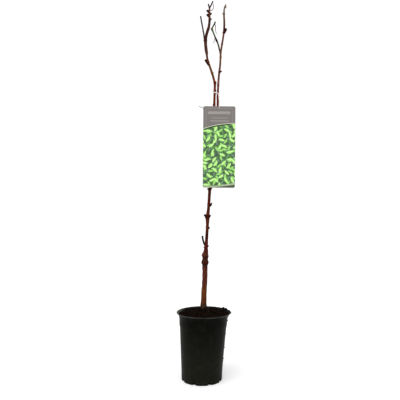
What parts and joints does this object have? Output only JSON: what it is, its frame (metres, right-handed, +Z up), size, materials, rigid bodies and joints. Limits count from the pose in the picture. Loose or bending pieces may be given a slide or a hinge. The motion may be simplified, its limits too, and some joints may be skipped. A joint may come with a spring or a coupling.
{
  "type": "potted grapevine",
  "caption": "Young dormant grapevine with a knobbly stem, forked canes and bare twigs in a tall black nursery pot, with a hanging picture card.",
  "frame": {"origin": "centre of the pot's flat underside, where the potted vine stands", "axes": "+Z up along the vine's height, +X to the right and -Y towards the viewer of the card's printed side"},
  "size_m": [0.1613, 0.149, 1.0343],
  "materials": {
    "pot_plastic": "satin",
    "potting_soil": "matte",
    "trunk_bark": "matte",
    "cane_bark": "satin",
    "twigs": "matte",
    "card_plastic": "satin",
    "tie_plastic": "satin"
  },
  "bodies": {
    "root": {"pot": "pot_plastic", "potting_soil": "potting_soil", "trunk": "trunk_bark", "left_bough": "cane_bark", "right_bough": "cane_bark", "left_tip_twigs": "twigs", "right_tip_twigs": "twigs", "side_twig": "twigs", "middle_twig": "twigs", "label_card": "card_plastic", "label_tie": "tie_plastic"}
  },
  "joints": []
}
